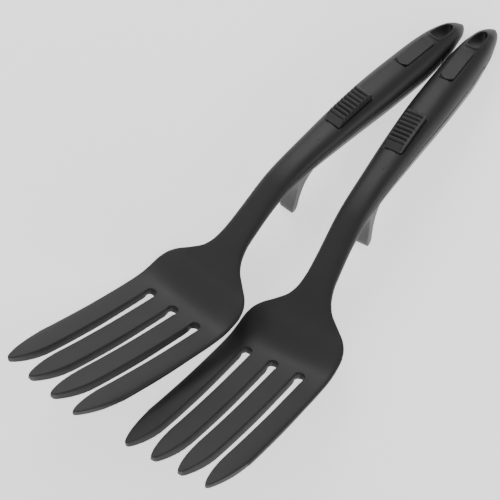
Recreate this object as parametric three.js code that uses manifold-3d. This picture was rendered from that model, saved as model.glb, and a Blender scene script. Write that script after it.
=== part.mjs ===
// A pair of moulded four-tine serving forks ("salad hands"), lying side by side in a V.
// Each fork is drawn in its own frame: x runs from the tine tips to the end of the
// handle, y across to the left, z up. It is then set down on its three points of rest.
import * as THREE from 'three';
import { mergeVertices } from 'three/addons/utils/BufferGeometryUtils.js';
import Module from 'manifold-3d';

// ---- driving dimensions, in millimetres ----
const LENGTH = 337;
const TINE_PITCH = 18.2;
const SLOT_WIDTH = 6.4;
const SLOT_END = 101;
const SLOT_DRAFT = 1;          // how much narrower each side of a slot is underneath
const SLOT_END_DRAFT = 2.4;
const LEAF_LENGTH = 28;        // the tapered tip of a tine
const HEAD_DISH = 1.3;         // how far the middle of the head sinks below its edges
const FIT_GAP = 0.3;           // clearance between two pieces that touch
const WALL = 3.2;

// Profiles along the fork: [distance from the tips, value].
const HALF_WIDTH = [[0, 34.5], [24, 35], [75, 34.5], [105, 34.2], [116, 33.8], [122, 32.2], [127, 28.6],
  [132, 21.6], [137, 14.8], [143, 11.1], [150, 9.5], [170, 8.8], [197, 9.3], [231, 11], [265, 12.2],
  [292, 11.8], [316, 9.6], [326, 7.2], [331.5, 5.2], [334.5, 3.5], [336, 2.3], [LENGTH, 1]];
const TOP = [[0, 25.4], [41, 16.6], [75, 11.4], [102, 9], [126, 16.3], [150, 34], [184, 56],
  [218, 65.6], [252, 72.7], [286, 77.4], [313, 79.7], [326, 78.6], [332, 76.4], [LENGTH, 73]];
const THICKNESS = [[0, 3.8], [20, 5.6], [50, 5.6], [80, 4.9], [102, 4.4], [125, 4.6], [143, 6],
  [177, 9.6], [211, 13.4], [252, 18], [292, 20.4], [316, 17], [327, 12.2], [333, 8.4], [LENGTH, 2.6]];
const SECTION_POWER = [[0, 4], [119, 4], [170, 2.6], [LENGTH, 2.4]];
// How far down the side the seam runs, as a share of the thickness.
const SEAM_DEPTH = [[170, 0.72], [186, 0.68], [200, 0.52], [214, 0.46], [235, 0.46], [255, 0.47],
  [276, 0.49], [293, 0.49], [310, 0.46], [325, 0.42]];

// Underside shell, with the tongue that hooks over a pan's rim.
const SHELL_START = 176;
const SHELL_END = 308;
const TONGUE_HALF_WIDTH = 5;
const TONGUE_TIP = [189, 23.2];
const TONGUE_ROOT = 188;

// Hollow between the two shells, as pockets with bulkheads between them, and the bar in it.
const BODY_POCKETS = [[194, 222], [226, 256], [260, 286], [290, 304]];
const SHELL_POCKETS = [[230, 256], [260, 286], [290, 302]];
const BAR = { start: 212, end: 306, halfWidth: 5, height: 4 };

// Ribbed thumb pad.
const PAD = { start: 225.5, end: 253, halfWidth: 5.8, height: 2.9, sunk: 1, rampEnd: 229.5,
  ribs: 8, ribHeight: 0.8, frontHeight: 0.5 };
const PAD_PEGS = [236, 247];

// Blank name plate.
const PLATE = { start: 282.5, end: 307, halfWidth: 4.6, height: 0.4, sunk: 0.9, bow: 1.8 };
const PLATE_PEGS = [293, 302];
const PEG_RADIUS = 1.3;

// Hanging hole, flat towards the head and tapering towards the end.
const HOLE = { start: 311.5, end: 327, halfWidth: 4.2, corner: 3 };
const LINER_WALL = 1.2;

// How a fork lies: pitched down at the handle and rolled onto its left shoulder, turned in plan
// about a point on its axis, with that point's place.
const PIVOT = 170;
const REST_ROLL = THREE.MathUtils.degToRad(-16.75);
const REST_PITCH = THREE.MathUtils.degToRad(16.74);
const SPLAY = THREE.MathUtils.degToRad(5.51);      // each fork's turn away from the middle
const LEFT_PLACE = [-7.1, 25.4];
const RIGHT_PLACE = [7.1, -25.4];

const FORK_STATIONS = 60;
const FORK_SIDES = 18;

// ---- small tools ----
const wasm = await Module();
wasm.setup();

// A smooth curve through [x, y] points that never overshoots them.
function smooth(points) {
  const count = points.length;
  const run = [];
  const rise = [];
  for (let i = 0; i < count - 1; i += 1) {
    run.push(points[i + 1][0] - points[i][0]);
    rise.push((points[i + 1][1] - points[i][1]) / run[i]);
  }
  const slope = points.map((_, i) => {
    if (i === 0) return rise[0];
    if (i === count - 1) return rise[count - 2];
    if (rise[i - 1] * rise[i] <= 0) return 0;
    const before = 2 * run[i] + run[i - 1];
    const after = run[i] + 2 * run[i - 1];
    return (before + after) / (before / rise[i - 1] + after / rise[i]);
  });
  return (x) => {
    const at = THREE.MathUtils.clamp(x, points[0][0], points[count - 1][0]);
    let i = 0;
    while (i < count - 2 && at > points[i + 1][0]) i += 1;
    const t = (at - points[i][0]) / run[i];
    const keep = (1 + 2 * t) * (1 - t) ** 2;
    const leave = t * (1 - t) ** 2;
    const reach = t ** 2 * (3 - 2 * t);
    const arrive = t ** 2 * (t - 1);
    return keep * points[i][1] + leave * run[i] * slope[i]
      + reach * points[i + 1][1] + arrive * run[i] * slope[i + 1];
  };
}

const halfWidth = smooth(HALF_WIDTH);
const top = smooth(TOP);
const thickness = smooth(THICKNESS);
const sectionPower = smooth(SECTION_POWER);
const seamDepth = smooth(SEAM_DEPTH);
const bottom = (x) => top(x) - thickness(x);
const seam = (x) => top(x) - thickness(x) * seamDepth(x);

// Moves every vertex of a geometry by a function of its place.
function reshape(geometry, move) {
  const place = geometry.attributes.position;
  for (let i = 0; i < place.count; i += 1) {
    const [x, y, z] = move(place.getX(i), place.getY(i), place.getZ(i));
    place.setXYZ(i, x, y, z);
  }
  return geometry;
}

const signedPower = (value, power) => Math.sign(value) * Math.abs(value) ** power;

// A closed bar of superellipse sections between two stations, from profiles of its own.
function loft({ start, end, wide, high, low, stations, sides = FORK_SIDES, dish = 0 }) {
  const bar = new THREE.CylinderGeometry(1, 1, 1, sides, stations);
  return reshape(bar, (x, y, z) => {
    const along = THREE.MathUtils.lerp(start, end, y + 0.5);
    const radius = Math.min(1, Math.hypot(x, z));
    const angle = Math.atan2(z, x);
    const power = 2 / sectionPower(along);
    const across = -radius * signedPower(Math.cos(angle), power);
    const up = radius * signedPower(Math.sin(angle), power);
    const middle = (high(along) + low(along)) / 2;
    const half = (high(along) - low(along)) / 2;
    const sink = dish * (1 - across ** 2) * THREE.MathUtils.smoothstep(SLOT_END + 22 - along, 0, 20);
    return [along, across * wide(along), middle + up * half - sink];
  });
}

// A slab that follows the fork: straight sides, with its top and bottom given along x.
function bentSlab(start, end, half, high, low, steps) {
  const slab = new THREE.BoxGeometry(1, 2, 1, steps, 1, 1);
  return reshape(slab, (x, y, z) => {
    const along = THREE.MathUtils.lerp(start, end, x + 0.5);
    return [along, y * half, z > 0 ? high(along) : low(along)];
  });
}

// A plan outline made into an upright block between two heights.
function upright(shape, low, high, curveSegments = 10) {
  const block = new THREE.ExtrudeGeometry(shape, { depth: high - low, bevelEnabled: false, curveSegments });
  return block.translate(0, 0, low);
}

// A side outline in (x, z) made into a block across the fork.
function acrossBlock(shape, half, curveSegments = 8) {
  const block = new THREE.ExtrudeGeometry(shape, { depth: 2 * half, bevelEnabled: false, curveSegments });
  return block.rotateX(Math.PI / 2).translate(0, half, 0);
}

function solid(geometry) {
  const bare = geometry.clone();
  bare.deleteAttribute('normal');
  bare.deleteAttribute('uv');
  const merged = mergeVertices(bare, 1e-4);
  return new wasm.Manifold(new wasm.Mesh({
    numProp: 3,
    vertProperties: new Float32Array(merged.attributes.position.array),
    triVerts: new Uint32Array(merged.index.array),
  }));
}

function toGeometry(manifold) {
  const mesh = manifold.getMesh();
  const geometry = new THREE.BufferGeometry();
  geometry.setAttribute('position', new THREE.BufferAttribute(mesh.vertProperties, 3));
  geometry.setIndex(new THREE.BufferAttribute(mesh.triVerts, 1));
  geometry.computeVertexNormals();
  return geometry;
}

const cut = (piece, cutters) => cutters.reduce((left, cutter) => left.subtract(solid(cutter)), piece);

// ---- one fork ----
const outerLoft = () => loft({ start: 0, end: LENGTH, wide: halfWidth, high: top, low: bottom,
  stations: FORK_STATIONS, dish: HEAD_DISH });

// Half the width of a tine's leaf-shaped tip.
function leaf(x) {
  const full = (TINE_PITCH - SLOT_WIDTH) / 2;
  return 0.3 + (full - 0.3) * Math.sin((Math.PI / 2) * Math.min(1, x / LEAF_LENGTH) ** 0.7);
}

const LEAF_STEPS = [0, 1.5, 4, 7, 11, 16, 22, LEAF_LENGTH];

// Half the gap between two tines at places along it: a mouth between the leaf tips, a straight
// run, and a round end.
function gapStations() {
  const half = SLOT_WIDTH / 2;
  const mouth = [-3, ...LEAF_STEPS].map((x) => [x, TINE_PITCH / 2 - leaf(Math.max(0, x))]);
  const run = [40, 52, 64, 76, 88].map((x) => [x, half]);
  const end = [0, 0.2, 0.4, 0.6, 0.8, 0.97].map((share) => {
    const angle = (share * Math.PI) / 2;
    return [SLOT_END - half + half * Math.sin(angle), half * Math.cos(angle)];
  });
  return [...mouth, ...run, ...end];
}

// A slot's cutter follows the head's two surfaces and narrows towards the underside.
function slotCutter(row) {
  const stations = gapStations();
  const last = stations.length - 1;
  return reshape(new THREE.BoxGeometry(1, 2, 1, last, 1, 1), (x, y, z) => {
    const [along, half] = stations[Math.round((x + 0.5) * last)];
    if (z > 0) return [along, y * half + row * TINE_PITCH, top(along) + 0.4];
    const end = THREE.MathUtils.smoothstep(along, SLOT_END - 8, SLOT_END);
    const under = Math.max(0.05, half - 1.4 * SLOT_DRAFT * (1 - end));
    return [along - end * SLOT_END_DRAFT, y * under + row * TINE_PITCH, bottom(along) - 1.8];
  });
}

// What is taken off outside an outer tine to shape its leaf tip.
function shoulderShape(side) {
  const middle = 1.5 * TINE_PITCH;
  const shape = new THREE.Shape();
  shape.moveTo(-3, side * (middle + leaf(0)));
  for (const x of LEAF_STEPS) shape.lineTo(x, side * (middle + leaf(x) + 1.3 * (x / LEAF_LENGTH) ** 2));
  shape.lineTo(LEAF_LENGTH, side * (middle + 14));
  shape.lineTo(-3, side * (middle + 14));
  return shape;
}

// The hanging hole's outline, grown outwards by a margin.
function holeShape(margin) {
  const front = HOLE.start - margin;
  const back = HOLE.end + margin;
  const half = HOLE.halfWidth + margin;
  const round = HOLE.corner + margin / 2;
  const shape = new THREE.Shape();
  shape.moveTo(front, round - half);
  shape.lineTo(front, half - round);
  shape.quadraticCurveTo(front, half, front + round, half);
  shape.bezierCurveTo(front + 9, half, back - 0.4, half * 0.8, back, 0);
  shape.bezierCurveTo(back - 0.4, -half * 0.8, front + 9, -half, front + round, -half);
  shape.quadraticCurveTo(front, -half, front, round - half);
  return shape;
}

function pegs(places, low, margin = 0) {
  return places.map((x) => {
    const reach = top(x) - low(x);
    const peg = new THREE.CylinderGeometry(PEG_RADIUS + margin, PEG_RADIUS + margin, reach, 12);
    return peg.rotateX(Math.PI / 2).translate(x, 0, low(x) + reach / 2);
  });
}

const pegFoot = (x) => top(x) - WALL - 0.6;

function forkBody() {
  const slots = [-1, 0, 1].map(slotCutter);
  const trims = [-1, 1].map((side) => upright(shoulderShape(side), -20, 60));
  const belowSeam = bentSlab(SHELL_START, SHELL_END, 20, seam, (x) => bottom(x) - 12, 26);
  const pockets = BODY_POCKETS.map(([start, end]) => loft({ start, end, stations: 6, sides: 12,
    wide: (x) => halfWidth(x) - WALL, high: (x) => top(x) - WALL, low: (x) => seam(x) - 3 }));
  const barSeat = bentSlab(BAR.start - FIT_GAP, BAR.end + FIT_GAP, BAR.halfWidth + FIT_GAP,
    (x) => seam(x) + BAR.height / 2 + FIT_GAP, (x) => seam(x) - 1, 20);
  const padSeat = bentSlab(PAD.start - FIT_GAP, PAD.end + FIT_GAP, PAD.halfWidth + FIT_GAP,
    (x) => top(x) + 5, (x) => top(x) - PAD.sunk - FIT_GAP, 5);
  const plateSeat = bentSlab(PLATE.start - FIT_GAP, PLATE.end + FIT_GAP, PLATE.halfWidth + FIT_GAP,
    (x) => top(x) + 5, (x) => top(x) - PLATE.sunk - FIT_GAP, 5);
  const pegHoles = pegs([...PAD_PEGS, ...PLATE_PEGS], (x) => pegFoot(x) - 1, FIT_GAP);
  const hangHole = upright(holeShape(LINER_WALL + FIT_GAP), 30, 110);
  return cut(solid(outerLoft()), [...slots, ...trims, belowSeam, ...pockets, barSeat, padSeat,
    plateSeat, ...pegHoles, hangHole]);
}

// The tongue's side outline: a thin blade whose back sweeps down in a hollow curve to a round tip.
function tongueShape() {
  const [tipX, tipZ] = TONGUE_TIP;
  const shape = new THREE.Shape();
  shape.moveTo(TONGUE_ROOT, seam(TONGUE_ROOT) - FIT_GAP - 0.5);
  shape.lineTo(226, seam(226) - FIT_GAP - 0.5);
  shape.lineTo(226, bottom(226) + 0.4);
  shape.bezierCurveTo(207, bottom(207) - 1, 198.5, 46, 193, tipZ + 3);
  shape.quadraticCurveTo(191.8, tipZ, tipX, tipZ);
  shape.quadraticCurveTo(tipX - 1.6, tipZ + 0.3, tipX - 0.9, tipZ + 3);
  shape.bezierCurveTo(193, 38, 195, 45.5, TONGUE_ROOT, bottom(TONGUE_ROOT) + 0.8);
  return shape;
}

function undersideShell() {
  const region = bentSlab(SHELL_START + FIT_GAP, SHELL_END - FIT_GAP, 20,
    (x) => seam(x) - FIT_GAP, (x) => bottom(x) - 12, 26);
  const pockets = SHELL_POCKETS.map(([start, end]) => loft({ start, end, stations: 6, sides: 12,
    wide: (x) => halfWidth(x) - WALL, high: (x) => seam(x) + 4, low: (x) => bottom(x) + WALL - 0.4 }));
  const barSeat = bentSlab(BAR.start - FIT_GAP, BAR.end + FIT_GAP, BAR.halfWidth + FIT_GAP,
    (x) => seam(x) + 1, (x) => seam(x) - BAR.height / 2 - FIT_GAP, 20);
  const shell = cut(solid(outerLoft()).intersect(solid(region)), pockets);
  return cut(shell.add(solid(acrossBlock(tongueShape(), TONGUE_HALF_WIDTH))), [barSeat]);
}

const coreBar = () => solid(bentSlab(BAR.start, BAR.end, BAR.halfWidth,
  (x) => seam(x) + BAR.height / 2, (x) => seam(x) - BAR.height / 2, 20));

// The pad's side outline: a smooth ramp at the front, then a row of round ribs.
function padShape() {
  const shape = new THREE.Shape();
  const surface = (x, lift) => shape.lineTo(x, top(x) + lift);
  shape.moveTo(PAD.start, top(PAD.start) - PAD.sunk);
  surface(PAD.start, PAD.frontHeight);
  surface(PAD.start + 1, PAD.frontHeight + 0.5);
  surface(PAD.rampEnd - 0.6, PAD.height);
  const pitch = (PAD.end - 0.8 - PAD.rampEnd) / PAD.ribs;
  for (let rib = 0; rib < PAD.ribs; rib += 1) {
    const from = PAD.rampEnd + rib * pitch;
    surface(from, PAD.height);
    surface(from + 0.3 * pitch, PAD.height + PAD.ribHeight);
    surface(from + 0.7 * pitch, PAD.height + PAD.ribHeight);
  }
  surface(PAD.end - 0.8, PAD.height);
  surface(PAD.end, PAD.height - 0.8);
  for (let step = 0; step <= 4; step += 1) {
    surface(THREE.MathUtils.lerp(PAD.end, PAD.start + 6, step / 4), -PAD.sunk);
  }
  return shape;
}

function thumbPad() {
  const block = solid(acrossBlock(padShape(), PAD.halfWidth));
  return pegs(PAD_PEGS, pegFoot).reduce((joined, peg) => joined.add(solid(peg)), block);
}

function namePlate() {
  const slab = new THREE.BoxGeometry(1, 2, 1, 6, 6, 1);
  reshape(slab, (x, y, z) => {
    const front = PLATE.start + PLATE.bow * y ** 2;
    const along = THREE.MathUtils.lerp(front, PLATE.end, x + 0.5);
    return [along, y * PLATE.halfWidth, top(along) + (z > 0 ? PLATE.height : -PLATE.sunk)];
  });
  return pegs(PLATE_PEGS, pegFoot).reduce((joined, peg) => joined.add(solid(peg)), solid(slab));
}

function holeLiner() {
  const around = loft({ start: HOLE.start - 6, end: HOLE.end + 6, stations: 12, wide: (x) => halfWidth(x),
    high: (x) => top(x) + 0.4, low: (x) => bottom(x) - 0.4 });
  const tube = solid(upright(holeShape(LINER_WALL), 30, 110)).subtract(solid(upright(holeShape(0), 20, 120)));
  return tube.intersect(solid(around));
}

// ---- materials and assembly ----
const blackNylon = () => new THREE.MeshStandardMaterial({ color: 0x2b2b2c, roughness: 0.55, metalness: 0 });
const greyNylon = () => new THREE.MeshStandardMaterial({ color: 0x5c5c5e, roughness: 0.5, metalness: 0 });
const padRubber = () => new THREE.MeshStandardMaterial({ color: 0x222223, roughness: 0.7, metalness: 0 });
const steel = () => new THREE.MeshStandardMaterial({ color: 0xb8babd, roughness: 0.35, metalness: 1 });

const PIECES = [
  ['fork_body', forkBody(), blackNylon],
  ['underside_shell', undersideShell(), greyNylon],
  ['core_bar', coreBar(), steel],
  ['thumb_pad', thumbPad(), padRubber],
  ['name_plate', namePlate(), blackNylon],
  ['hole_liner', holeLiner(), blackNylon],
];

function makeFork(side) {
  const fork = new THREE.Group();
  for (const [name, manifold, material] of PIECES) {
    const mesh = new THREE.Mesh(toGeometry(manifold), material());
    mesh.name = `${side}_${name}`;
    fork.add(mesh);
  }
  return fork;
}

// Rolls a fork onto its shoulder, lets its handle down, turns it in plan and sets it on the floor.
function layDown(fork, [x, y], turn) {
  fork.position.set(-PIVOT, 0, 0);
  const rolled = new THREE.Group();
  rolled.rotation.x = REST_ROLL;
  rolled.add(fork);
  const pitched = new THREE.Group();
  pitched.rotation.y = REST_PITCH;
  pitched.add(rolled);
  const turned = new THREE.Group();
  turned.rotation.z = turn;
  turned.add(pitched);
  turned.updateMatrixWorld(true);
  turned.position.set(x, y, -new THREE.Box3().setFromObject(turned, true).min.z);
  return turned;
}

const pair = new THREE.Group();
pair.add(layDown(makeFork('left'), LEFT_PLACE, -SPLAY));
pair.add(layDown(makeFork('right'), RIGHT_PLACE, SPLAY));
pair.updateMatrixWorld(true);
const middle = new THREE.Box3().setFromObject(pair, true).getCenter(new THREE.Vector3());
pair.position.set(-middle.x, -middle.y, 0);

export default pair;
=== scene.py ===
import math

import bmesh
import bpy
import numpy as np
from mathutils import Matrix, Vector


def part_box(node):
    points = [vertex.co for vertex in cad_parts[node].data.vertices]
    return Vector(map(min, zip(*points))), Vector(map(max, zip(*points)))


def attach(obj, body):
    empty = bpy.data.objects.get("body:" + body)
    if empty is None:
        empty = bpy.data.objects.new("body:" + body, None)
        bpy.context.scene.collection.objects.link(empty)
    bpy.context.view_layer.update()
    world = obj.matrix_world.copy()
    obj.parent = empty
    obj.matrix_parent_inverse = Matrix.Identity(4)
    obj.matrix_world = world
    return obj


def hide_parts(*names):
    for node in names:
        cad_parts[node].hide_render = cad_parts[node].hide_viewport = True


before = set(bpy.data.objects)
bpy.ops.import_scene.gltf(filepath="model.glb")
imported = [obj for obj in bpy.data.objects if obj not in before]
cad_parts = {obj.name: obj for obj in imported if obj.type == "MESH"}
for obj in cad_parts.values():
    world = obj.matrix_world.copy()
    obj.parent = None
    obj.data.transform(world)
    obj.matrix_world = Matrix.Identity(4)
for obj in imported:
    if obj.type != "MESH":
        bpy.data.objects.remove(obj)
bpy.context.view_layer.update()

# A pair of black moulded serving forks lying side by side in a V. Each fork is drawn once
# in its own frame, in millimetres: x from the tine tips to the end of the handle, y to the
# left, z up. Each side then gets its own copy of the pieces, laid down on the surface.
MM = 0.001

LENGTH = 337
TINE_PITCH = 18.2
SLOT_WIDTH = 6.4
SLOT_END = 101
SLOT_DRAFT = 1
SLOT_END_DRAFT = 2.4
SLOT_END_RUN = 8
LEAF_LENGTH = 28
LEAF_TIP = 0.3
LEAF_ROUNDNESS = 0.7
HEAD_DISH = 1.3
DISH_FADE = 20
WALL = 3.2
ROUND_STEPS = 6

# Clearances: between loose pieces, along the seam and around the plate.
GAP = 0.3
SEAM_GAP = 0.2
PLATE_GAP = 0.12
# How far cutting shapes run past the surfaces they cut.
OVERRUN = 3
FAR_BELOW = 12
FAR_ASIDE = 20

# Profiles along the fork: (distance from the tips, value).
HALF_WIDTH = ((0, 34.5), (24, 35), (75, 34.5), (105, 34.2), (116, 33.8), (122, 32.2), (127, 28.6),
              (132, 21.6), (137, 14.8), (143, 11.1), (150, 9.5), (170, 8.8), (197, 9.3), (231, 11),
              (265, 12.2), (292, 11.8), (316, 9.6), (326, 7.2), (331.5, 5.2), (334.5, 3.5), (336, 2.3),
              (LENGTH, 1))
TOP = ((0, 25.4), (41, 16.6), (75, 11.4), (102, 9), (126, 16.3), (150, 34), (184, 56), (218, 65.6),
       (252, 72.7), (286, 77.4), (313, 79.7), (326, 78.6), (332, 76.4), (LENGTH, 73))
THICKNESS = ((0, 3.8), (20, 5.6), (50, 5.6), (80, 4.9), (102, 4.4), (125, 4.6), (143, 6), (177, 9.6),
             (211, 13.4), (252, 18), (292, 20.4), (316, 17), (327, 12.2), (333, 8.4), (LENGTH, 2.6))
SECTION_POWER = ((0, 4), (119, 4), (170, 2.6), (LENGTH, 2.4))
SEAM_DEPTH = ((170, 0.72), (186, 0.68), (200, 0.52), (214, 0.46), (235, 0.46), (255, 0.47),
              (276, 0.49), (293, 0.49), (310, 0.46), (325, 0.42))

SHELL = (176, 308)
POCKETS = ((194, 222), (226, 256), (260, 286), (290, 304))
BAR = {"start": 212, "end": 306, "half": 5, "height": 4}
TONGUE_HALF = 5
TONGUE_TIP = (189, 23.2)
TONGUE_ROOT = 188
TONGUE_HEEL = 226
PAD = {"start": 225.5, "end": 253, "half": 5.8, "height": 2.9, "sunk": 1, "ramp_end": 229.5,
       "ribs": 8, "rib_height": 1.9, "rib_sunk": 1.1, "front_height": 0.5, "corner": 2, "edge": 0.8}
PLATE = {"start": 282.5, "end": 307, "half": 4.6, "height": 0.3, "sunk": 0.9, "bow": 1.8,
         "corner": 1.2}
HOLE = {"start": 311.5, "end": 327, "half": 4.2, "corner": 3}
LINER_WALL = 1.2
LINER_OVERLAP = 0.35
RIM_HEIGHT = 0.3
DIMPLE = {"x": 212, "y": -2.5, "across": 2, "depth": 0.25}

# How a fork lies on its three points of rest.
REST_ROLL = math.radians(-16.75)
REST_PITCH = math.radians(16.74)
SPLAY = math.radians(5.51)
SIDES = {"left": -SPLAY, "right": SPLAY}


# ---- profiles ----
def smooth(points):
    """A curve through (x, y) points that never overshoots them, for numbers or arrays."""
    xs, ys = np.array(points, float).T
    run = np.diff(xs)
    rise = np.diff(ys) / run
    slope = np.zeros(len(xs))
    slope[0] = rise[0]
    slope[-1] = rise[-1]
    for i in range(1, len(xs) - 1):
        if rise[i - 1] * rise[i] > 0:
            before = 2 * run[i] + run[i - 1]
            after = run[i] + 2 * run[i - 1]
            slope[i] = (before + after) / (before / rise[i - 1] + after / rise[i])

    def curve(x):
        at = np.clip(x, xs[0], xs[-1])
        i = np.clip(np.searchsorted(xs, at, side="right") - 1, 0, len(run) - 1)
        t = (at - xs[i]) / run[i]
        keep = (1 + 2 * t) * (1 - t) ** 2
        reach = t ** 2 * (3 - 2 * t)
        leave = t * (1 - t) ** 2 * run[i] * slope[i]
        arrive = t ** 2 * (t - 1) * run[i] * slope[i + 1]
        return keep * ys[i] + leave + reach * ys[i + 1] + arrive

    return curve


half_width = smooth(HALF_WIDTH)
top = smooth(TOP)
thickness = smooth(THICKNESS)
section_power = smooth(SECTION_POWER)
seam_depth = smooth(SEAM_DEPTH)


def bottom(x):
    return top(x) - thickness(x)


def far_below(x):
    return bottom(x) - FAR_BELOW


def seam(x):
    return top(x) - thickness(x) * seam_depth(x)


def bezier(start, *controls, steps=16):
    """Points of a quadratic or cubic Bezier curve after its start."""
    points = np.array([start, *controls], float)
    t = np.linspace(0, 1, steps + 1)[1:, None]
    n = len(points) - 1
    return [tuple(p) for p in sum(math.comb(n, k) * (1 - t) ** (n - k) * t ** k * points[k]
                                  for k in range(n + 1))]


# ---- mesh building ----
def mesh_object(name, verts, faces):
    mesh = bpy.data.meshes.new(name)
    mesh.from_pydata([tuple(v) for v in np.asarray(verts, float) * MM], [], faces)
    mesh.validate()
    piece = bpy.data.objects.new(name, mesh)
    bpy.context.collection.objects.link(piece)
    return piece


def tube_faces(rings, sides):
    """Quads joining rings of points, with a cap on each end."""
    faces = [(r * sides + s, r * sides + (s + 1) % sides, (r + 1) * sides + (s + 1) % sides,
              (r + 1) * sides + s) for r in range(rings - 1) for s in range(sides)]
    first = tuple(range(sides))[::-1]
    last = tuple(range((rings - 1) * sides, rings * sides))
    return faces + [first, last]


def loft(name, start, end, wide, high, low, stations, sides, dish=0):
    """A closed bar of superellipse sections."""
    along = np.linspace(start, end, stations)[:, None]
    angle = np.linspace(0, 2 * math.pi, sides, endpoint=False)[None, :]
    power = 2 / section_power(along)
    across = np.sign(np.cos(angle)) * np.abs(np.cos(angle)) ** power
    up = np.sign(np.sin(angle)) * np.abs(np.sin(angle)) ** power
    fade = np.clip((SLOT_END + DISH_FADE + 2 - along) / DISH_FADE, 0, 1)
    sink = dish * (1 - across ** 2) * fade ** 2 * (3 - 2 * fade)
    middle = (high(along) + low(along)) / 2
    z = middle + up * (high(along) - low(along)) / 2 - sink
    verts = np.stack([along + 0 * z, across * wide(along), z], -1).reshape(-1, 3)
    return mesh_object(name, verts, tube_faces(stations, sides))


def slab(name, start, end, half, high, low, steps=60):
    """A straight-sided slab that follows the fork."""
    verts = [(x, y, level(x)) for x in np.linspace(start, end, steps)
             for y, level in ((-half, low), (half, low), (half, high), (-half, high))]
    return mesh_object(name, verts, tube_faces(steps, 4))


def prism(name, outline, low, high, upright=True):
    """An outline made into a block: upright from a plan outline, or across from a side one."""
    verts = [(a, b, level) if upright else (a, level, b) for level in (low, high) for a, b in outline]
    return mesh_object(name, verts, tube_faces(2, len(outline)))


def bake(piece):
    """Applies every modifier to the mesh."""
    seen = piece.evaluated_get(bpy.context.evaluated_depsgraph_get())
    mesh = bpy.data.meshes.new_from_object(seen)
    piece.modifiers.clear()
    piece.data = mesh
    return piece


def tidy_normals(piece):
    """Makes every face point outwards, which booleans need."""
    cage = bmesh.new()
    cage.from_mesh(piece.data)
    bmesh.ops.recalc_face_normals(cage, faces=cage.faces)
    cage.to_mesh(piece.data)
    cage.free()


def combine(piece, others, operation):
    """Cuts, joins or intersects a piece with others, which are used up."""
    tidy_normals(piece)
    for other in others:
        tidy_normals(other)
        step = piece.modifiers.new("combine", "BOOLEAN")
        step.operation = operation
        step.object = other
        step.solver = "EXACT"
        bake(piece)
        bpy.data.objects.remove(other)
    return piece


def moulded(piece, voxel, rounding, keep):
    """Remeshes a piece at a voxel size in millimetres and softens its edges, as a moulding's are."""
    remesh = piece.modifiers.new("remesh", "REMESH")
    remesh.mode = "VOXEL"
    remesh.voxel_size = voxel * MM
    soften = piece.modifiers.new("soften", "SMOOTH")
    soften.factor = 0.5
    soften.iterations = rounding
    thin = piece.modifiers.new("thin", "DECIMATE")
    thin.ratio = keep
    bake(piece)
    piece.data.shade_smooth()
    return piece


# ---- the pieces of one fork, in its own frame ----
def whole_loft(name):
    return loft(name, 0, LENGTH, half_width, top, bottom, stations=240, sides=64, dish=HEAD_DISH)


def leaf(x):
    """Half the width of a tine's leaf-shaped tip."""
    full = (TINE_PITCH - SLOT_WIDTH) / 2
    share = np.minimum(1, np.maximum(x, 0) / LEAF_LENGTH)
    return LEAF_TIP + (full - LEAF_TIP) * np.sin(math.pi / 2 * share ** LEAF_ROUNDNESS)


LEAF_STEPS = LEAF_LENGTH * np.linspace(0, 1, 18) ** 1.4


def slot_cutter(row):
    """The gap between two tines. It follows the head's surfaces and narrows underneath."""
    half = SLOT_WIDTH / 2
    angle = np.linspace(0, 0.97, 14) * math.pi / 2
    run = np.linspace(LEAF_LENGTH, SLOT_END - half, 30)[1:-1]
    mouth = np.concatenate([[-OVERRUN], LEAF_STEPS])
    x = np.concatenate([mouth, run, SLOT_END - half + half * np.sin(angle)])
    wide = np.concatenate([TINE_PITCH / 2 - leaf(mouth), 0 * run + half, half * np.cos(angle)])
    end = np.clip((x - SLOT_END + SLOT_END_RUN) / SLOT_END_RUN, 0, 1)
    end = end ** 2 * (3 - 2 * end)
    under = np.maximum(0.05, wide - 1.4 * SLOT_DRAFT * (1 - end))
    upper = np.stack([x, wide, top(x) + 0.4], -1)
    lower = np.stack([x - end * SLOT_END_DRAFT, under, bottom(x) - 1.8], -1)
    flip = np.array([1, -1, 1])
    shift = np.array([0, row * TINE_PITCH, 0])
    verts = np.stack([lower * flip, lower, upper, upper * flip], 1).reshape(-1, 3) + shift
    return mesh_object("slot", verts, tube_faces(len(x), 4))


def tip_trim_outline(side):
    """What comes off outside an outer tine to shape its leaf tip."""
    middle = 1.5 * TINE_PITCH
    line = [(-OVERRUN, middle + leaf(0))]
    line += [(x, middle + leaf(x) + 1.3 * (x / LEAF_LENGTH) ** 2) for x in LEAF_STEPS]
    line += [(LEAF_LENGTH, middle + 14), (-OVERRUN, middle + 14)]
    return [(x, side * y) for x, y in line]


def hole_outline(margin):
    """The hanging hole, flat towards the head and tapering towards the end."""
    front = HOLE["start"] - margin
    back = HOLE["end"] + margin
    half = HOLE["half"] + margin
    corner = HOLE["corner"] + margin / 2
    side = [(front, half - corner)]
    side += bezier(side[-1], (front, half), (front + corner, half), steps=ROUND_STEPS)
    side += bezier(side[-1], (front + 9, half), (back - 0.4, half * 0.8), (back, 0), steps=20)
    return side + [(x, -y) for x, y in side[-2::-1]]


def dimple():
    """A shallow round mark in the top of the handle."""
    x, y, across, depth = (DIMPLE[key] for key in ("x", "y", "across", "depth"))
    angle = np.linspace(0, 2 * math.pi, 25)[:-1]
    ring = across / 2 * np.stack([np.cos(angle), np.sin(angle)], -1) + (x, y)
    return prism("dimple", [tuple(p) for p in ring], top(x) - depth, top(x) + OVERRUN)


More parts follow.
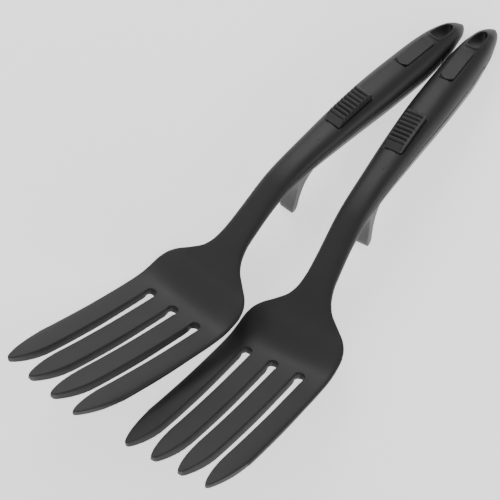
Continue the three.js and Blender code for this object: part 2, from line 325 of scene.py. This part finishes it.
def fork_body():
    body = whole_loft("fork_body")
    cutters = [slot_cutter(row) for row in (-1, 0, 1)]
    cutters += [prism("trim", tip_trim_outline(side), -20, 60) for side in (-1, 1)]
    cutters.append(slab("below_seam", *SHELL, FAR_ASIDE, lambda x: seam(x) + SEAM_GAP, far_below))
    for start, end in POCKETS:
        cutters.append(loft("pocket", start, end, lambda x: half_width(x) - WALL,
                            lambda x: top(x) - WALL, lambda x: seam(x) - OVERRUN,
                            stations=8, sides=16))
    cutters.append(slab("bar_seat", BAR["start"] - GAP, BAR["end"] + GAP, BAR["half"] + GAP,
                        lambda x: seam(x) + BAR["height"] / 2 + GAP, lambda x: seam(x) - 1))
    for seat, gap in ((PAD, GAP), (PLATE, PLATE_GAP)):
        cutters.append(slab("seat", seat["start"] - gap, seat["end"] + gap, seat["half"] + gap,
                            lambda x: top(x) + 5, lambda x: top(x) - seat["sunk"] - gap, steps=12))
    cutters.append(prism("hole", hole_outline(LINER_WALL - LINER_OVERLAP), 30, 110))
    cutters.append(dimple())
    return moulded(combine(body, cutters, "DIFFERENCE"), voxel=0.42, rounding=5, keep=0.35)


def tongue_outline():
    """The hook's side: its back sweeps down in a hollow curve to a thin round tip."""
    tip_x, tip_z = TONGUE_TIP
    root = TONGUE_ROOT
    heel = TONGUE_HEEL
    line = [(root, seam(root) - GAP - 0.5), (heel, seam(heel) - GAP - 0.5), (heel, bottom(heel) + 0.4)]
    line += bezier(line[-1], (207, bottom(207) - 1), (198.5, 46), (193, tip_z + 3), steps=24)
    line += bezier(line[-1], (191.8, tip_z), (tip_x, tip_z), steps=ROUND_STEPS)
    line += bezier(line[-1], (tip_x - 1.6, tip_z + 0.3), (tip_x - 0.9, tip_z + 3), steps=ROUND_STEPS)
    line += bezier(line[-1], (193, 38), (195, 45.5), (root, bottom(root) + 0.8), steps=20)
    return line


def underside_shell():
    shell = whole_loft("underside_shell")
    region = slab("region", SHELL[0] + GAP, SHELL[1] - GAP, FAR_ASIDE,
                  lambda x: seam(x) - SEAM_GAP, far_below)
    combine(shell, [region], "INTERSECT")
    tongue = prism("tongue", tongue_outline(), -TONGUE_HALF, TONGUE_HALF, upright=False)
    combine(shell, [tongue], "UNION")
    seat = slab("bar_seat", BAR["start"] - GAP, BAR["end"] + GAP, BAR["half"] + GAP,
                lambda x: seam(x) + 1, lambda x: seam(x) - BAR["height"] / 2 - GAP)
    combine(shell, [seat], "DIFFERENCE")
    return moulded(shell, voxel=0.36, rounding=6, keep=0.4)


def pad_outline():
    """The thumb pad's side: a smooth ramp, then a row of round ribs."""
    end = PAD["end"]
    height = PAD["height"]
    edge = PAD["edge"]
    line = [(PAD["start"], -PAD["sunk"]), (PAD["start"], PAD["front_height"])]
    line += [(PAD["start"] + 1, PAD["front_height"] + 0.5), (PAD["ramp_end"] - 0.6, height)]
    pitch = (end - edge - PAD["ramp_end"]) / PAD["ribs"]
    for rib in range(PAD["ribs"]):
        for step in range(8):
            share = step / 8
            lift = PAD["rib_height"] * math.sin(math.pi * share) ** 0.7 if share else 0
            line.append((PAD["ramp_end"] + (rib + share) * pitch, height - PAD["rib_sunk"] + lift))
    line += [(end - edge, height), (end, height - edge), (end, -PAD["sunk"])]
    line += [(x, -PAD["sunk"]) for x in np.linspace(end, PAD["start"], 8)[1:-1]]
    return [(x, top(x) + lift) for x, lift in line]


def rounded_front(piece, bow=0.0):
    """A plan outline with rounded corners at the front and, where it is bowed, a curved edge."""
    start, end, half = (piece[key] for key in ("start", "end", "half"))
    corner = piece["corner"]
    line = [(end, half), (start + bow + corner, half)]
    line += bezier(line[-1], (start + bow, half), (start + 0.7 * bow, half - corner), steps=ROUND_STEPS)
    line += bezier(line[-1], (start, half * 0.4), (start, 0), steps=ROUND_STEPS)
    return line + [(x, -y) for x, y in line[-2::-1]]


def thumb_pad():
    pad = prism("thumb_pad", pad_outline(), -PAD["half"], PAD["half"], upright=False)
    combine(pad, [prism("corners", rounded_front(PAD), 50, 90)], "INTERSECT")
    return moulded(pad, voxel=0.22, rounding=3, keep=0.5)


def name_plate():
    plate = prism("name_plate", rounded_front(PLATE, PLATE["bow"]), 60, 90)
    band = slab("band", PLATE["start"] - 1, PLATE["end"] + 1, 9, lambda x: top(x) + PLATE["height"],
                lambda x: top(x) - PLATE["sunk"])
    combine(plate, [band], "INTERSECT")
    return moulded(plate, voxel=0.2, rounding=4, keep=0.4)


def hole_liner():
    liner = prism("hole_liner", hole_outline(LINER_WALL), 30, 110)
    combine(liner, [prism("bore", hole_outline(0), 20, 120)], "DIFFERENCE")
    around = loft("around", HOLE["start"] - 6, HOLE["end"] + 6, half_width,
                  lambda x: top(x) + RIM_HEIGHT, lambda x: bottom(x) - RIM_HEIGHT,
                  stations=40, sides=64)
    combine(liner, [around], "INTERSECT")
    return moulded(liner, voxel=0.2, rounding=4, keep=0.4)


# ---- materials ----
CLOUD_TINT = 0.14
SHEEN_SPREAD = 0.05


def plastic(name, colour, roughness, grain, depth):
    """Moulded plastic: faint cloudiness in the colour, an uneven sheen and a fine skin grain."""
    material = bpy.data.materials.new(name)
    material.use_nodes = True
    nodes = material.node_tree.nodes
    link = material.node_tree.links.new
    shader = nodes["Principled BSDF"]
    shader.inputs["Metallic"].default_value = 0
    shader.inputs["IOR"].default_value = 1.5
    place = nodes.new("ShaderNodeTexCoord")

    clouds = nodes.new("ShaderNodeTexNoise")
    clouds.inputs["Scale"].default_value = 60
    clouds.inputs["Detail"].default_value = 5
    link(place.outputs["Object"], clouds.inputs["Vector"])
    tint = nodes.new("ShaderNodeValToRGB")
    tint.color_ramp.elements[0].position = 0.3
    tint.color_ramp.elements[0].color = (*(c * (1 - CLOUD_TINT) for c in colour), 1)
    tint.color_ramp.elements[1].position = 0.7
    tint.color_ramp.elements[1].color = (*(c * (1 + CLOUD_TINT) for c in colour), 1)
    link(clouds.outputs["Fac"], tint.inputs["Fac"])
    link(tint.outputs["Color"], shader.inputs["Base Color"])

    sheen = nodes.new("ShaderNodeMapRange")
    sheen.inputs["To Min"].default_value = roughness - SHEEN_SPREAD
    sheen.inputs["To Max"].default_value = roughness + SHEEN_SPREAD
    link(clouds.outputs["Fac"], sheen.inputs["Value"])
    link(sheen.outputs["Result"], shader.inputs["Roughness"])

    skin = nodes.new("ShaderNodeTexNoise")
    skin.inputs["Scale"].default_value = grain
    skin.inputs["Detail"].default_value = 3
    link(place.outputs["Object"], skin.inputs["Vector"])
    bump = nodes.new("ShaderNodeBump")
    bump.inputs["Strength"].default_value = 0.35
    bump.inputs["Distance"].default_value = depth * MM
    link(skin.outputs["Fac"], bump.inputs["Height"])
    link(bump.outputs["Normal"], shader.inputs["Normal"])
    return material


def flat_bar_steel():
    """Plain flat bar, drawn along its length."""
    material = bpy.data.materials.new("flat_bar_steel")
    material.use_nodes = True
    nodes = material.node_tree.nodes
    link = material.node_tree.links.new
    shader = nodes["Principled BSDF"]
    shader.inputs["Base Color"].default_value = (0.55, 0.56, 0.57, 1)
    shader.inputs["Metallic"].default_value = 1
    place = nodes.new("ShaderNodeTexCoord")
    stretch = nodes.new("ShaderNodeMapping")
    stretch.inputs["Scale"].default_value = (40, 1500, 1500)
    link(place.outputs["Object"], stretch.inputs["Vector"])
    lines = nodes.new("ShaderNodeTexNoise")
    lines.inputs["Scale"].default_value = 1
    link(stretch.outputs["Vector"], lines.inputs["Vector"])
    sheen = nodes.new("ShaderNodeMapRange")
    sheen.inputs["To Min"].default_value = 0.25
    sheen.inputs["To Max"].default_value = 0.5
    link(lines.outputs["Fac"], sheen.inputs["Value"])
    link(sheen.outputs["Result"], shader.inputs["Roughness"])
    return material


BLACK = plastic("black_nylon", (0.014, 0.014, 0.0145), roughness=0.5, grain=900, depth=0.08)
# The underside shell's lighter grey is painted light: it stands in for the light the pale floor bounces
# up onto the forks' undersides and hooks.
PAINTED_BOUNCE_GREY = plastic("grey_nylon", (0.085, 0.085, 0.087), roughness=0.42, grain=900, depth=0.08)
PAD_SKIN = plastic("pad_rubber", (0.026, 0.026, 0.0265), roughness=0.54, grain=1400, depth=0.1)
STEEL = flat_bar_steel()

PIECES = (
    ("fork_body", fork_body(), BLACK, "black_nylon"),
    # The underside shell gets the grey with painted floor-bounce light.
    ("underside_shell", underside_shell(), PAINTED_BOUNCE_GREY, "grey_nylon"),
    ("thumb_pad", thumb_pad(), PAD_SKIN, "pad_rubber"),
    ("name_plate", name_plate(), BLACK, "black_nylon"),
    ("hole_liner", hole_liner(), BLACK, "black_nylon"),
)


# ---- laying the forks down ----
def turned(side):
    """The turn from the fork's own frame to the row's."""
    turn = Matrix.Rotation(SIDES[side], 4, "Z")
    return turn @ Matrix.Rotation(REST_PITCH, 4, "Y") @ Matrix.Rotation(REST_ROLL, 4, "X")


def laid_down(side, body):
    """The fork's matrix in the row frame: its body's box matches the CAD body's."""
    turn = turned(side)
    points = np.array([v.co for v in body.data.vertices]) @ np.array(turn.to_3x3()).T
    low, high = (np.array(corner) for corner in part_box(f"{side}_fork_body"))
    shift = (low + high) / 2 - (points.min(0) + points.max(0)) / 2
    return Matrix.Translation(Vector(shift)) @ turn


def place_fork(side):
    matrix = laid_down(side, PIECES[0][1])
    for name, pattern, material, slot in PIECES:
        piece = bpy.data.objects.new(f"{side}_{name}_moulding", pattern.data.copy())
        bpy.context.collection.objects.link(piece)
        piece.data.materials.clear()
        piece.data.materials.append(material)
        piece.data.transform(matrix)
        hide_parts(f"{side}_{name}")
        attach(piece, f"{side}_fork")
    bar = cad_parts[f"{side}_core_bar"]
    bar.data.materials.clear()
    bar.data.materials.append(STEEL)


for side in SIDES:
    place_fork(side)
for _, pattern, _, _ in PIECES:
    bpy.data.objects.remove(pattern)


# ---- floor, light and camera ----
FLOOR_HALF = 6
FLOOR_GLOW = 1.1
SKY_GLOW = 0.41
HANDLES = (0.09, 0, 0.05)
MIDDLE = (0, 0, 0.03)
NECKS = (0, 0, 0.04)
# Each light: (name, place, what it faces, size across in metres, watts).
LIGHTS = (
    ("key", (0.38, 0.52, 0.52), HANDLES, 0.4, 2.2),
    ("low_front", (-1.0, -0.9, 0.35), MIDDLE, 0.8, 12),
    ("upper_left", (-0.35, 0.6, 0.6), NECKS, 0.5, 0.7),
    ("near_side", (0.4, -0.62, 0.4), HANDLES, 0.35, 1.3),
)


def white_floor():
    corners = [(x * FLOOR_HALF, y * FLOOR_HALF, 0) for x, y in ((-1, -1), (1, -1), (1, 1), (-1, 1))]
    mesh = bpy.data.meshes.new("floor")
    mesh.from_pydata(corners, [], [(0, 1, 2, 3)])
    floor = bpy.data.objects.new("floor", mesh)
    bpy.context.collection.objects.link(floor)
    material = bpy.data.materials.new("floor_paint")
    material.use_nodes = True
    shader = material.node_tree.nodes["Principled BSDF"]
    shader.inputs["Base Color"].default_value = (0.9, 0.9, 0.9, 1)
    shader.inputs["Roughness"].default_value = 0.9
    shader.inputs["Emission Color"].default_value = (1, 1, 1, 1)
    shader.inputs["Emission Strength"].default_value = FLOOR_GLOW
    floor.data.materials.append(material)


def area_light(name, place, aim, size, watts):
    data = bpy.data.lights.new(name, "AREA")
    data.shape = "DISK"
    data.size = size
    data.energy = watts
    light = bpy.data.objects.new(name, data)
    light.location = place
    light.rotation_euler = (Vector(aim) - Vector(place)).to_track_quat("-Z", "Y").to_euler()
    bpy.context.collection.objects.link(light)


def world_glow(strength):
    world = bpy.data.worlds.new("studio")
    world.use_nodes = True
    glow = world.node_tree.nodes["Background"]
    glow.inputs["Color"].default_value = (1, 1, 1, 1)
    glow.inputs["Strength"].default_value = strength
    bpy.context.scene.world = world


CAMERA_PLACE = (-0.3396, -0.3081, 1.2745)
CAMERA_AXES = ((0.6713, -0.7407, -0.0275), (0.7039, 0.6255, 0.3367))
CAMERA_LENS = 168.46


def camera():
    data = bpy.data.cameras.new("camera")
    data.lens = CAMERA_LENS
    data.sensor_width = 36
    data.clip_end = 20
    cam = bpy.data.objects.new("camera", data)
    right, up = (Vector(axis).normalized() for axis in CAMERA_AXES)
    back = right.cross(up)
    turn = Matrix((right, up, back)).transposed().to_4x4()
    cam.matrix_world = Matrix.Translation(CAMERA_PLACE) @ turn
    bpy.context.collection.objects.link(cam)
    bpy.context.scene.camera = cam


white_floor()
world_glow(SKY_GLOW)
for settings in LIGHTS:
    area_light(*settings)
camera()
